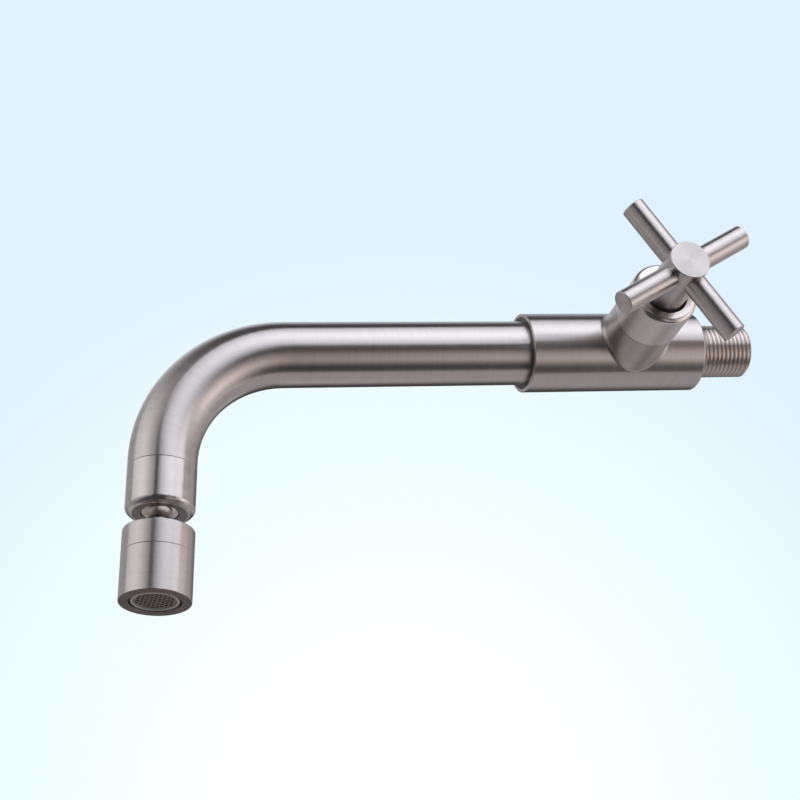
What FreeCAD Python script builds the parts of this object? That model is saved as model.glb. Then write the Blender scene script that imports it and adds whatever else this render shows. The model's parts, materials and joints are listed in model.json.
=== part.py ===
"""Wall-mounted basin tap.

A threaded nipple screws into the wall and carries a straight round valve body. A ceramic-disc valve
stands in the body's side boss, under a plain sleeve and a handle with four round arms. A bent spout
turns in the body's mouth, and its outlet head hangs on a ball joint.

Millimetres and degrees. The origin is the centre of the body's rear face, where it meets the wall.
+Y points into the wall, -Y along the spout, +X along the handle's axis and +Z up.
"""
import FreeCAD, Part
import math
import os

V = FreeCAD.Vector

# Clearances, measured on the radius or between two flat faces
fixed_gap = 0.02        # screwed, pressed or brazed together
film_gap = 0.05         # flat faces that slide on each other
seal_gap = 0.05         # a ring seal and the bore that it turns in
running_gap = 0.06      # a turning piece and its bearing
ball_gap = 0.10         # the ball and its two seats
free_gap = 0.30         # moving pieces that never touch
fine_edge = 0.15        # broken edge of a turned piece, and of each seam that shows

# Wall nipple, with a half-inch parallel pipe thread
thread_radius = 20.955 / 2
thread_length = 23.2
nipple_bore = 7.0
nipple_chamfer = 1.3
nipple_root_wall = 2.4
nipple_root_length = 8.0
inlet_pool_depth = 4.0

# Ceramic-disc valve, measured outwards from its own axis
disc_radius = 7.1
barrel_wall = 1.4
water_gap = 0.9
valve_thread_depth = 0.5
register_wall = 1.4
sleeve_wall = 1.55
hex_gap = 0.48
shank_radius = 5.65
neck_wall = 1.5
port_inner_radius = 1.7
port_outer_radius = 5.9
port_sweep = 80.0
disc_key_sweep = 24.0
key_slack = 1.0
tongue_width = 2.8
tongue_depth = 1.1
housing_seal_thickness = 1.15
shank_seal_thickness = 1.36
shank_seal_first = 5.0
shank_seal_pitch = 4.0

# Ceramic-disc valve, measured along its axis from the body's axis
seat_height = 1.0
gasket_thickness = 2.2
barrel_lift = 1.2
disc_thickness = 2.8
spindle_head_thickness = 3.4
washer_thickness = 0.7
boss_height = 28.7
register_height = 3.0
flange_thickness = 1.5
hex_height = 4.8
neck_height = 4.0
stop_window_depth = 2.4
stop_lug_sweep = 40.0
handle_turn = 90.0
stop_slack = 1.5

# Handle
hub_float = 2.0
hub_dip = 3.2
hub_radius = 7.75
hub_opening_gap = 1.05
skirt_length = 20.1
hub_cap_height = 2.6
spline_radius = 4.0
spline_depth = 0.5
spline_teeth = 20
arm_radius = 4.5
arm_reach = 30.7
arm_angle = 27.8
arm_count = 4
stud_radius = 2.5
stud_length = 3.3
set_screw_radius = 2.0
set_screw_key = 1.0
set_screw_height = 8.0

# Sleeve over the valve
sleeve_top_thickness = 3.3
sleeve_rim_round = 2.0

# Valve body
body_edge = 0.8
mouth_edge = 0.4
handle_offset = 29.9
boss_fillet = 2.0
port_radius = 4.0
port_floor = 2.2
seat_hole_radius = 4.4
outlet_port_radius = 5.0
outlet_port_rise = 3.5
outlet_port_break_in = 2.5
socket_web = 5.2
socket_floor_gap = 0.5

# Spout
tube_radius = 12.5
tube_wall = 1.2
spigot_head_length = 12.4
spigot_tail_length = 12.0
spigot_bore = 8.5
spigot_seal_thickness = 1.9
spigot_seal_pitch = 3.7
spigot_seal_first = 3.1
snap_ring_place = 10.0
snap_ring_thickness = 1.3
snap_ring_width = 1.7
snap_ring_opening = 24.0
glide_ring_wall = 1.6
glide_ring_length = 2.7
mouth_recess = 0.3
mouth_wall = 1.3
tube_engagement = 15.1
spout_straight = 96.0
bend_radius = 50.0
bend_angle = 82.0
spout_end = 3.4

# Spout ring and ball joint, measured along the outlet from the ring's seam
insert_thread_length = 6.3
insert_wall = 2.9
ring_length = 17.3
ring_wall = 2.0
ring_lip = 0.6
ring_lip_depth = 2.7
ring_round = 2.3
ring_seal_thickness = 1.2
ball_height = 12.1
ball_seat_wall = 2.2
ball_hold = 1.3
ball_collar_recess = 0.3
ball_collar_top_gap = 0.3
waterway_radius = 2.8
stem_radius = 4.2

# Outlet head
head_gap = 6.7
head_radius = 12.85
head_edge = 0.7
cap_length = 9.2
cap_top_wall = 4.0
cap_thread_wall = 1.9
shell_length = 17.5
shell_wall = 3.55
shell_edge = 0.25
shell_root_wall = 0.95
shell_root_gap = 0.2
stem_seal_thickness = 0.9
stem_seal_depth = 2.0
stem_clip_depth = 0.4
clip_thickness = 0.8
clip_width = 1.9
stem_end_length = 2.0
air_gap = 0.7
core_wall = 0.7
core_flange_thickness = 1.5
core_recess = 0.3
core_lip = 0.3
core_lip_thickness = 0.6
aerator_gasket_thickness = 1.6
aerator_gasket_bore = 6.6
grid_thickness = 1.4
screen_thickness = 0.4
screen_rim = 1.0
screen_count = 2
jet_plate_thickness = 2.0
jet_radius = 0.6
jet_count = 12
strainer_height = 5.5
strainer_thickness = 0.6
strainer_wall = 0.6
rim_wall = 0.7
air_window_drop = 1.0
air_window_height = 2.0
air_window_sweep = 28.0
air_window_count = 6
grid_pitch = 1.7
grid_web = 0.4
grid_rings = 4
screen_pitch = 2.2
screen_rings = 3

# Radii that follow, from the valve's axis outwards
barrel_bore = disc_radius + film_gap
barrel_radius = barrel_bore + barrel_wall
chamber_radius = barrel_radius + water_gap
valve_thread_radius = chamber_radius + valve_thread_depth
register_radius = valve_thread_radius + register_wall
sleeve_bore = register_radius + fixed_gap
collar_radius = sleeve_bore + sleeve_wall
hex_corner_radius = sleeve_bore - hex_gap
shank_bore = shank_radius + running_gap
neck_radius = shank_bore + neck_wall
hub_opening_radius = hub_radius + hub_opening_gap
housing_seal_floor = valve_thread_radius - housing_seal_thickness
shank_seal_outer = shank_bore - seal_gap
shank_seal_floor = shank_seal_outer - shank_seal_thickness
clip_floor_radius = shank_radius - clip_thickness

# Heights that follow, along the valve's axis
fixed_disc_height = seat_height + gasket_thickness
moving_disc_height = fixed_disc_height + disc_thickness + film_gap
spindle_head_height = moving_disc_height + disc_thickness
washer_height = spindle_head_height + spindle_head_thickness
shoulder_height = washer_height + washer_thickness + film_gap
barrel_top_height = shoulder_height + barrel_wall
register_top = boss_height + register_height
flange_top = register_top + flange_thickness
hex_top = flange_top + hex_height
neck_top = hex_top + neck_height
hub_bottom = neck_top + hub_float
sleeve_top = hub_bottom + hub_dip
arm_height = hub_bottom + skirt_length
hub_top = arm_height + arm_radius + hub_cap_height
housing_seal_height = register_top - housing_seal_thickness
spindle_top = arm_height - stud_radius - 2 * free_gap - spline_depth

# Places that follow, along the body's axis from the wall
nipple_root_radius = nipple_bore + nipple_root_wall
inlet_bore_depth = nipple_root_length + inlet_pool_depth
socket_floor = handle_offset + chamber_radius + socket_web
spigot_start = socket_floor + socket_floor_gap
tube_start = spigot_start + spigot_head_length
body_length = tube_start + tube_engagement
bend_start = body_length + spout_straight
tube_bore = tube_radius - tube_wall
socket_radius = tube_radius + free_gap
spigot_radius = socket_radius - running_gap
glide_ring_radius = tube_radius + running_gap + glide_ring_wall
mouth_radius = glide_ring_radius + fixed_gap
body_radius = mouth_radius + mouth_wall
spigot_seal_outer = socket_radius - seal_gap
spigot_seal_floor = spigot_seal_outer - spigot_seal_thickness
snap_ring_inner = spigot_radius - snap_ring_width / 2
snap_ring_outer = snap_ring_inner + snap_ring_width

# Places that follow, along the outlet from the ring's seam
ring_bore = tube_radius - ring_wall
insert_bore = ring_bore - insert_wall
ring_seal_floor = ring_bore - ring_seal_thickness
ring_mouth_radius = ring_bore - ring_lip
seat_radius = ring_bore - ball_seat_wall
ball_radius = seat_radius - ball_gap
ball_opening_radius = ball_radius - ball_hold
collar_top = ball_height + ball_collar_top_gap
head_top = ring_length + head_gap
cap_inner_face = head_top + cap_top_wall
cap_bottom = head_top + cap_length
head_bottom = cap_bottom + shell_length
stem_bottom = cap_inner_face + stem_end_length
stem_bearing = stem_radius + running_gap
stem_seal_outer = stem_bearing - seal_gap
stem_seal_floor = stem_seal_outer - stem_seal_thickness
stem_seal_height = head_top + stem_seal_depth
stem_clip_floor = stem_radius - stem_clip_depth
cap_bore = head_radius - cap_thread_wall
shell_root_radius = cap_bore - fixed_gap
shell_bore = head_radius - shell_wall
core_flange_bore = shell_root_radius - shell_root_wall
core_radius = shell_bore - air_gap
core_bore = core_radius - core_wall
core_mouth = core_bore - core_lip
core_top = cap_inner_face + aerator_gasket_thickness
core_bottom = head_bottom - core_recess
grid_bottom = core_bottom - core_lip_thickness
grid_top = grid_bottom - grid_thickness
screens_top = grid_top - screen_count * screen_rim
jet_plate_top = core_top + strainer_height
jet_plate_bottom = jet_plate_top + jet_plate_thickness
inner_radius = core_bore - fixed_gap


# Frames of the three axes. A turned piece is drawn about its own Z axis and put into its frame.
def outlet_direction():
    """The way that the water leaves, after the bend."""
    turn = math.radians(bend_angle)
    return V(0, -math.cos(turn), -math.sin(turn))


def bend_end():
    """Centre of the tube where the bend ends."""
    turn = math.radians(bend_angle)
    along = bend_start + bend_radius * math.sin(turn)
    drop = bend_radius * (1 - math.cos(turn))
    return V(0, -along, -drop)


body_axis = FreeCAD.Placement(V(0, 0, 0), FreeCAD.Rotation(V(1, 0, 0), 90))
valve_axis = FreeCAD.Placement(V(0, -handle_offset, 0), FreeCAD.Rotation(V(0, 1, 0), 90))
outlet_axis = FreeCAD.Placement(bend_end() + outlet_direction() * spout_end,
                                FreeCAD.Rotation(V(1, 0, 0), 90 + bend_angle))


# Shapes that many pieces share
def outline(corners):
    """Closed wire of a turned profile. A corner is (radius, height) or (radius, height, rounding)."""
    points = [V(corner[0], 0, corner[1]) for corner in corners]
    count = len(points)
    entries = []
    exits = []
    edges = []
    for i in range(count):
        here = points[i]
        rounding = corners[i][2] if len(corners[i]) > 2 else 0
        if rounding == 0:
            entries.append(here)
            exits.append(here)
            continue
        back = (points[i - 1] - here).normalize()
        ahead = (points[(i + 1) % count] - here).normalize()
        half = back.getAngle(ahead) / 2
        run = rounding / math.tan(half)
        inward = (back + ahead).normalize()
        middle = here + inward * (rounding / math.sin(half) - rounding)
        entries.append(here + back * run)
        exits.append(here + ahead * run)
        edges.append(Part.Arc(entries[i], middle, exits[i]).toShape())
    for i in range(count):
        start = exits[i]
        end = entries[(i + 1) % count]
        if start.distanceToPoint(end) > 1e-7:
            edges.append(Part.LineSegment(start, end).toShape())
    return Part.Wire(Part.__sortEdges__(edges))


def turned(corners):
    """Solid of revolution about Z."""
    return Part.Face(outline(corners)).revolve(V(0, 0, 0), V(0, 0, 1), 360)


def washer(inner, outer, bottom, top):
    """Plain round ring between two heights."""
    return turned([(inner, bottom), (outer, bottom), (outer, top), (inner, top)])


def rod(radius, bottom, top, x=0, y=0):
    """Plain cylinder along Z."""
    return Part.makeCylinder(radius, top - bottom, V(x, y, bottom))


def cross_rod(radius, start, end, height, angle):
    """Cylinder that points away from Z at a height, turned by an angle about Z."""
    shape = Part.makeCylinder(radius, end - start, V(start, 0, height), V(1, 0, 0))
    shape.rotate(V(0, 0, 0), V(0, 0, 1), angle)
    return shape


def seal_ring(inner, outer, height):
    """Round-section ring that fills the space between two radii."""
    section = (outer - inner) / 2
    return Part.makeTorus(inner + section, section, V(0, 0, height))


def wedge(inner, outer, bottom, top, middle, sweep):
    """Slice of a ring, centred on an angle."""
    slice_ = Part.makeCylinder(outer, top - bottom, V(0, 0, bottom), V(0, 0, 1), sweep)
    if inner > 0:
        slice_ = slice_.cut(rod(inner, bottom, top))
    slice_.rotate(V(0, 0, 0), V(0, 0, 1), middle - sweep / 2)
    return slice_


def wedges(inner, outer, bottom, top, first, sweep, count):
    """The same slice, repeated evenly about Z."""
    step = 360 / count
    return Part.makeCompound(
        [wedge(inner, outer, bottom, top, first + i * step, sweep) for i in range(count)])


def prism(radii, bottom, top, x=0, y=0, turn=0):
    """Upright prism whose corners stand at even angles, at the given radii in turn."""
    corners = []
    for i, radius in enumerate(radii):
        angle = math.radians(turn + i * 360 / len(radii))
        corners.append(V(x + radius * math.cos(angle), y + radius * math.sin(angle), bottom))
    face = Part.Face(Part.makePolygon(corners + corners[:1]))
    return face.extrude(V(0, 0, top - bottom))


def hexagon(across_flats, bottom, top, x=0, y=0):
    """Hexagonal prism."""
    return prism([across_flats / math.sqrt(3)] * 6, bottom, top, x, y, 30)


def splines(radius, bottom, top):
    """Toothed bar: the teeth of the spindle's end, or of the socket that it drives."""
    return prism([radius, radius - spline_depth] * spline_teeth, bottom, top)


def split(ring, opening, outer, bottom, top):
    """A ring cut open, as a snap ring or a circlip is."""
    return ring.cut(wedge(0, 2 * outer, bottom, top, 90, opening))


def holed_disc(radius, bottom, top, pitch, web, rings):
    """Disc with a honeycomb of six-sided holes, a given number of rings about the middle one."""
    holes = []
    for column in range(-rings, rings + 1):
        for row in range(-rings, rings + 1):
            if abs(column + row) > rings:
                continue
            x = pitch * (column + row / 2)
            y = pitch * row * math.sqrt(3) / 2
            holes.append(hexagon(pitch - web, bottom, top, x, y))
    return rod(radius, bottom, top).cut(Part.makeCompound(holes))


def edges_on(shape, test):
    """Edges whose middle point passes a test."""
    found = []
    for edge in shape.Edges:
        middle = edge.valueAt((edge.FirstParameter + edge.LastParameter) / 2)
        if test(middle):
            found.append(edge)
    return found


# Wall nipple and valve body
def inlet_nipple():
    """Nipple that screws into the wall. Its root is screwed into the body."""
    return turned([
        (nipple_bore, nipple_root_length), (nipple_bore, -thread_length),
        (thread_radius - nipple_chamfer, -thread_length),
        (thread_radius, nipple_chamfer - thread_length),
        (thread_radius, 0), (nipple_root_radius, 0), (nipple_root_radius, nipple_root_length)])


def body_outside():
    """Round body with the side boss blended into it, before anything is bored."""
    barrel = turned([(0, 0), (body_radius, 0, body_edge), (body_radius, body_length, mouth_edge),
                     (0, body_length)])
    boss = placed(rod(collar_radius, 0, boss_height), valve_axis)
    register = placed(rod(register_radius, 0, register_top), valve_axis)
    whole = placed(barrel, body_axis).fuse(boss)

    def on_both(point):
        from_body = math.hypot(point.x, point.z)
        from_valve = math.hypot(point.y + handle_offset, point.z)
        on_boss = abs(from_valve - collar_radius) < film_gap
        return on_boss and abs(from_body - body_radius) < film_gap and point.x > 0

    whole = whole.makeFillet(boss_fillet, edges_on(whole, on_both))
    return whole.fuse(register)


def body_bores():
    """Everything that is bored out of the body, from the inlet to the spout's socket."""
    passage_side = seat_height - port_floor - port_radius
    root_bore = nipple_root_radius + fixed_gap
    countersink = thread_radius + free_gap
    along_body = [
        turned([(0, 0), (countersink, 0), (root_bore, countersink - root_bore),
                (root_bore, inlet_bore_depth), (0, inlet_bore_depth)]),
        rod(port_radius, inlet_bore_depth, handle_offset + seat_hole_radius, passage_side),
        rod(outlet_port_radius, handle_offset + chamber_radius - outlet_port_break_in, socket_floor,
            outlet_port_rise),
        rod(socket_radius, socket_floor, body_length),
        rod(mouth_radius, body_length - mouth_recess - glide_ring_length, body_length),
        rod(snap_ring_outer + free_gap, spigot_start + snap_ring_place - free_gap,
            spigot_start + snap_ring_place + snap_ring_thickness + free_gap),
    ]
    along_valve = [
        rod(seat_hole_radius, passage_side, seat_height),
        rod(chamber_radius, seat_height, register_top),
        rod(valve_thread_radius + fixed_gap, barrel_top_height, register_top),
    ]
    return [placed(bore, body_axis) for bore in along_body] + \
           [placed(bore, valve_axis) for bore in along_valve]


def valve_body():
    """Body that joins the wall, the valve and the spout."""
    return body_outside().cut(body_bores())


def collar_sleeve():
    """Plain sleeve over the valve's hexagon, with a rounded rim about the handle's skirt."""
    inner_top = sleeve_top - sleeve_top_thickness
    return turned([
        (sleeve_bore, boss_height), (collar_radius, boss_height + fine_edge),
        (collar_radius, sleeve_top, sleeve_rim_round), (hub_opening_radius, sleeve_top, fine_edge),
        (hub_opening_radius, inner_top), (sleeve_bore, inner_top)])


def spout_glide_ring():
    """Bearing ring in the body's mouth."""
    outer_end = body_length - mouth_recess
    return washer(tube_radius + running_gap, glide_ring_radius, outer_end - glide_ring_length, outer_end)


# Ceramic-disc valve
def cartridge_housing():
    """Screwed housing of the valve, with water windows, a hexagon and the stop for the spindle."""
    groove_low = housing_seal_height - housing_seal_thickness / 2
    groove_high = housing_seal_height + housing_seal_thickness / 2
    body = turned([
        (barrel_bore, seat_height + barrel_lift), (barrel_radius, seat_height + barrel_lift),
        (barrel_radius, barrel_top_height), (valve_thread_radius, barrel_top_height + valve_thread_depth),
        (valve_thread_radius, groove_low), (housing_seal_floor, groove_low),
        (housing_seal_floor, groove_high), (valve_thread_radius, groove_high),
        (valve_thread_radius, register_top), (register_radius, register_top),
        (register_radius, flange_top), (neck_radius, flange_top), (neck_radius, neck_top),
        (shank_bore, neck_top), (shank_bore, shoulder_height), (barrel_bore, shoulder_height)])
    nut = hexagon(hex_corner_radius * math.sqrt(3), flange_top, hex_top).cut(
        rod(neck_radius, flange_top, hex_top))
    windows = wedges(0, 2 * barrel_radius, spindle_head_height + free_gap, shoulder_height - free_gap,
                     90, port_sweep, 2)
    key_slots = wedges(0, 2 * barrel_radius, seat_height + barrel_lift,
                       fixed_disc_height + disc_thickness, 0, disc_key_sweep + 2 * key_slack, 2)
    stop = wedge(0, 2 * neck_radius, neck_top - stop_window_depth, neck_top,
                 handle_turn / 2, handle_turn + stop_lug_sweep + 2 * stop_slack)
    return body.fuse(nut).cut([windows, key_slots, stop])


def cartridge_o_ring():
    """Seal between the housing and the body, under the housing's flange."""
    return seal_ring(housing_seal_floor, valve_thread_radius, housing_seal_height)


def seat_gasket():
    """Rubber ring between the valve's seat and its fixed disc."""
    return washer(seat_hole_radius + fine_edge, disc_radius, seat_height, fixed_disc_height)


def ceramic_disc(bottom, port_middle):
    """Ceramic disc with two water ports."""
    top = bottom + disc_thickness
    ports = wedges(port_inner_radius, port_outer_radius, bottom, top, port_middle, port_sweep, 2)
    return rod(disc_radius, bottom, top).cut(ports)


def ceramic_disc_fixed():
    """Lower disc. Two keys in the housing's slots stop it from turning."""
    bottom = fixed_disc_height
    top = bottom + disc_thickness
    keys = wedges(disc_radius - barrel_wall, barrel_radius - fine_edge, bottom, top, 0,
                  disc_key_sweep, 2)
    return ceramic_disc(bottom, 90).fuse(keys)


def tongue(extra):
    """Driving tongue between the spindle and its disc, or with some extra, the disc's slot."""
    width = tongue_width + 2 * extra
    length = 2 * disc_radius
    depth = tongue_depth + extra
    block = Part.makeBox(width, length, depth, V(-width / 2, -length / 2, spindle_head_height - depth))
    return block.common(rod(disc_radius - running_gap, spindle_head_height - depth, spindle_head_height))


def ceramic_disc_moving():
    """Upper disc, turned by the spindle. Its ports stand across the lower disc's when shut."""
    disc = ceramic_disc(moving_disc_height, 0)
    return disc.cut(tongue(film_gap)).common(
        rod(disc_radius - running_gap, moving_disc_height, spindle_head_height))


def spindle_seal_heights():
    """Middle heights of the two seals on the spindle."""
    first = shoulder_height + shank_seal_first
    return [first, first + shank_seal_pitch]


def spindle():
    """Valve spindle: driving tongue, head, sealed shank, stop lug and splined end."""
    half = shank_seal_thickness / 2 + fine_edge
    clip_bottom = neck_top + film_gap
    clip_top = clip_bottom + clip_thickness + film_gap
    shank_top = hub_bottom + free_gap
    head = rod(disc_radius - running_gap, spindle_head_height, washer_height)
    head = head.cut(wedges(port_inner_radius, 2 * disc_radius, spindle_head_height, washer_height,
                           0, port_sweep, 2))
    shank = rod(shank_radius, washer_height, shank_top)
    grooves = [washer(shank_seal_floor, 2 * shank_radius, height - half, height + half)
               for height in spindle_seal_heights()]
    grooves.append(washer(clip_floor_radius, 2 * shank_radius, clip_bottom, clip_top))
    lug = wedge(0, neck_radius - fine_edge, neck_top - stop_window_depth + film_gap,
                neck_top - film_gap, 0, stop_lug_sweep)
    teeth = splines(spline_radius, shank_top, spindle_top)
    return head.fuse([tongue(0), shank.cut(grooves), lug, teeth]).removeSplitter()


def spindle_o_rings():
    """Two seals in the spindle's grooves."""
    return Part.makeCompound([seal_ring(shank_seal_floor, shank_seal_outer, height)
                              for height in spindle_seal_heights()])


def friction_washer():
    """Slippery washer between the spindle's head and the housing's shoulder."""
    return washer(shank_radius + fixed_gap, disc_radius - running_gap, washer_height,
                  washer_height + washer_thickness)


def spindle_circlip():
    """Split ring that holds the spindle down on top of the housing."""
    bottom = neck_top + film_gap
    top = bottom + clip_thickness
    ring = washer(clip_floor_radius + fixed_gap, clip_floor_radius + clip_width, bottom, top)
    return split(ring, snap_ring_opening, neck_radius, bottom, top)


# Handle
def handle_hub():
    """Hub with a splined socket, a skirt that dips into the sleeve, and four holes for the arms."""
    pin_hole = shank_radius + free_gap
    body = turned([
        (0, hub_bottom), (hub_radius, hub_bottom, fine_edge), (hub_radius, hub_top, 2 * fine_edge),
        (0, hub_top)])
    socket = splines(spline_radius + fixed_gap, hub_bottom, spindle_top + free_gap)
    relief = rod(pin_hole, hub_bottom, hub_bottom + 2 * free_gap)
    cuts = [socket, relief]
    for i in range(arm_count):
        cuts.append(cross_rod(stud_radius + fixed_gap, hub_radius - stud_length - free_gap,
                              2 * hub_radius, arm_height, arm_angle + i * 360 / arm_count))
    cuts.append(cross_rod(set_screw_radius + fixed_gap, 0, 2 * hub_radius,
                          hub_bottom + set_screw_height, set_screw_angle()))
    return body.cut(cuts)


def handle_arm(number):
    """Round arm: its root is shaped to the hub, and a stud holds it there."""
    chamfer = 2 * fine_edge
    bar = turned([
        (0, hub_radius - stud_length), (stud_radius, hub_radius - stud_length),
        (stud_radius, hub_radius - arm_radius / 2), (arm_radius, hub_radius - arm_radius / 2),
        (arm_radius, arm_reach, chamfer), (0, arm_reach)])
    bar = placed(bar, FreeCAD.Placement(V(0, 0, arm_height), FreeCAD.Rotation(V(0, 1, 0), 90)))
    hub_space = rod(hub_radius, hub_bottom, hub_top).cut(
        cross_rod(stud_radius, 0, 2 * hub_radius, arm_height, 0))
    bar = bar.cut(hub_space)
    bar.rotate(V(0, 0, 0), V(0, 0, 1), arm_angle + number * 360 / arm_count)
    return bar


def set_screw_angle():
    """The screw is between two arms, on the side away from the user."""
    return arm_angle + 135


def handle_set_screw():
    """Headless screw with a hexagon socket, which clamps the hub to the spindle."""
    length = hub_radius - spline_radius - 2 * fine_edge
    screw = rod(set_screw_radius, 0, length).cut(hexagon(2 * set_screw_key, length / 2, length))
    screw = placed(screw, FreeCAD.Placement(
        V(spline_radius + fixed_gap, 0, hub_bottom + set_screw_height),
        FreeCAD.Rotation(V(0, 1, 0), 90)))
    screw.rotate(V(0, 0, 0), V(0, 0, 1), set_screw_angle())
    return screw


# Spout
def spigot_seal_places():
    """Middle places of the two seals on the spigot."""
    first = spigot_start + spigot_seal_first
    return [first, first + spigot_seal_pitch]


def spout_spigot():
    """Turned end of the spout, with grooves for two seals and the snap ring."""
    body = turned([
        (spigot_bore, spigot_start), (spigot_radius, spigot_start, mouth_edge),
        (spigot_radius, tube_start), (tube_bore - fixed_gap, tube_start),
        (tube_bore - fixed_gap, tube_start + spigot_tail_length),
        (spigot_bore, tube_start + spigot_tail_length)])
    half = spigot_seal_thickness / 2 + fine_edge
    grooves = [washer(spigot_seal_floor, 2 * spigot_radius, place - half, place + half)
               for place in spigot_seal_places()]
    snap = spigot_start + snap_ring_place
    grooves.append(washer(snap_ring_inner - fixed_gap, 2 * spigot_radius, snap - fixed_gap,
                          snap + snap_ring_thickness + fixed_gap))
    return body.cut(grooves)


def spout_o_rings():
    """Two seals between the spigot and the body's socket."""
    return Part.makeCompound([
        seal_ring(spigot_seal_floor, spigot_seal_outer, place)
        for place in spigot_seal_places()])


def spout_snap_ring():
    """Split ring that keeps the spout in the body and lets it turn."""
    start = spigot_start + snap_ring_place
    end = start + snap_ring_thickness
    ring = washer(snap_ring_inner, snap_ring_outer, start, end)
    return split(ring, snap_ring_opening, snap_ring_outer, start, end)


def bent_bar(radius):
    """Solid bar along the spout's centre line: straight, bent and straight again."""
    turn = math.radians(bend_angle)
    start = V(0, -tube_start, 0)
    bend = V(0, -bend_start, 0)
    middle = V(0, -bend_start - bend_radius * math.sin(turn / 2),
               -bend_radius * (1 - math.cos(turn / 2)))
    seam = bend_end() + outlet_direction() * spout_end
    path = Part.Wire([
        Part.LineSegment(start, bend).toShape(), Part.Arc(bend, middle, bend_end()).toShape(),
        Part.LineSegment(bend_end(), seam).toShape()])
    section = Part.Wire([Part.makeCircle(radius, start, V(0, -1, 0))])
    return path.makePipeShell([section], True, True)


def spout_tube():
    """Bent tube of the spout, with a fine chamfer at the ring's seam."""
    tube = bent_bar(tube_radius).cut(bent_bar(tube_bore))
    keep = turned([(0, -fine_edge), (tube_radius, -fine_edge), (tube_radius - fine_edge, 0),
                   (0, 0)])
    trim = rod(2 * tube_radius, -fine_edge, 0).cut(keep)
    return tube.cut(placed(trim, outlet_axis))


def spout_end_insert():
    """Threaded insert, brazed into the tube's straight end. It carries the ring and presses the seat."""
    outer = ring_bore - fixed_gap
    return turned([
        (insert_bore, -spout_end), (tube_bore - fixed_gap, -spout_end, fine_edge),
        (tube_bore - fixed_gap, 0), (ring_seal_floor, 0),
        (ring_seal_floor, ring_seal_thickness), (outer, ring_seal_thickness),
        (outer, insert_thread_length), (insert_bore, insert_thread_length)])


def ring_o_ring():
    """Seal between the insert and the ring, at the seam."""
    return seal_ring(ring_seal_floor, ring_bore, ring_seal_thickness / 2)


def swivel_ring():
    """Screwed ring that closes the ball joint, flush with the tube, its lower edge well rounded."""
    lip_top = ring_length - ring_lip_depth
    return turned([
        (ring_bore, 0), (tube_radius - fine_edge, 0), (tube_radius, fine_edge),
        (tube_radius, ring_length, ring_round), (ring_mouth_radius, ring_length),
        (ring_mouth_radius, lip_top), (ring_bore, lip_top)])


def ball_retaining_ring():
    """Collar inside the ring that holds the ball from below."""
    lip_top = ring_length - ring_lip_depth
    bottom = ring_length - ball_collar_recess
    blank = turned([
        (ball_opening_radius, collar_top), (ring_bore - fixed_gap, collar_top),
        (ring_bore - fixed_gap, lip_top), (ring_mouth_radius - fixed_gap, lip_top),
        (ring_mouth_radius - fixed_gap, bottom), (ball_opening_radius, bottom)])
    return blank.cut(Part.makeSphere(seat_radius, V(0, 0, ball_height)))


def ball_seat():
    """Slippery cup between the insert and the ball, which seals the joint."""
    top = insert_thread_length + film_gap
    bottom = collar_top - film_gap
    blank = rod(ring_bore - running_gap, top, bottom)
    return blank.cut(Part.makeSphere(seat_radius, V(0, 0, ball_height)))


def swivel_ball():
    """Polished ball with a hollow stem that carries the outlet head."""
    ball = Part.makeSphere(ball_radius, V(0, 0, ball_height))
    stem = turned([(0, ball_height), (stem_radius, ball_height),
                   (stem_radius, stem_bottom, fine_edge), (0, stem_bottom)])
    waterway = rod(waterway_radius, ball_height - 2 * ball_radius, stem_bottom)
    half = stem_seal_thickness / 2 + film_gap
    clip = cap_inner_face + film_gap
    grooves = [
        washer(stem_seal_floor, 2 * stem_radius, stem_seal_height - half, stem_seal_height + half),
        washer(stem_clip_floor, 2 * stem_radius, clip, clip + clip_thickness + film_gap)]
    return ball.fuse(stem).cut([waterway] + grooves).removeSplitter()


def stem_o_ring():
    """Seal between the stem and the cap."""
    return seal_ring(stem_seal_floor, stem_seal_outer, stem_seal_height)


def stem_circlip():
    """Split ring on the stem, on which the head hangs and turns."""
    bottom = cap_inner_face + film_gap
    top = bottom + clip_thickness
    ring = washer(stem_clip_floor + fixed_gap, stem_clip_floor + clip_width, bottom, top)
    return split(ring, snap_ring_opening, 2 * stem_radius, bottom, top)


# Outlet head
def head_cap():
    """Upper part of the head, which turns on the stem."""
    return turned([
        (stem_bearing, head_top), (head_radius, head_top, head_edge),
        (head_radius, cap_bottom - fine_edge), (head_radius - fine_edge, cap_bottom),
        (cap_bore, cap_bottom), (cap_bore, cap_inner_face), (stem_bearing, cap_inner_face)])


def aerator_shell():
    """Lower part of the head. It screws into the cap, and air rises between it and the aerator."""
    root_top = cap_inner_face + shell_root_gap
    ledge = core_top + core_flange_thickness
    return turned([
        (core_flange_bore, root_top), (shell_root_radius, root_top), (shell_root_radius, cap_bottom),
        (head_radius - fine_edge, cap_bottom), (head_radius, cap_bottom + fine_edge),
        (head_radius, head_bottom, shell_edge), (shell_bore, head_bottom), (shell_bore, ledge),
        (core_flange_bore, ledge)])


def aerator_gasket():
    """Flat rubber ring between the cap and the aerator."""
    return washer(aerator_gasket_bore, core_flange_bore - fixed_gap, cap_inner_face, core_top)


def air_windows(outer):
    """Openings through which air is drawn in under the jets."""
    top = jet_plate_bottom + air_window_drop
    return wedges(0, outer, top, top + air_window_height, 0, air_window_sweep, air_window_count)


def aerator_core():
    """Cup of the aerator. It hangs by its flange, and its mouth is the bright ring at the outlet."""
    ledge = core_top + core_flange_thickness
    cup = turned([
        (core_bore, core_top), (core_flange_bore - fixed_gap, core_top),
        (core_flange_bore - fixed_gap, ledge), (core_radius, ledge),
        (core_radius, core_bottom, fine_edge), (core_mouth, core_bottom),
        (core_mouth, grid_bottom), (core_bore, grid_bottom)])
    return cup.cut(air_windows(2 * core_radius))


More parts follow.
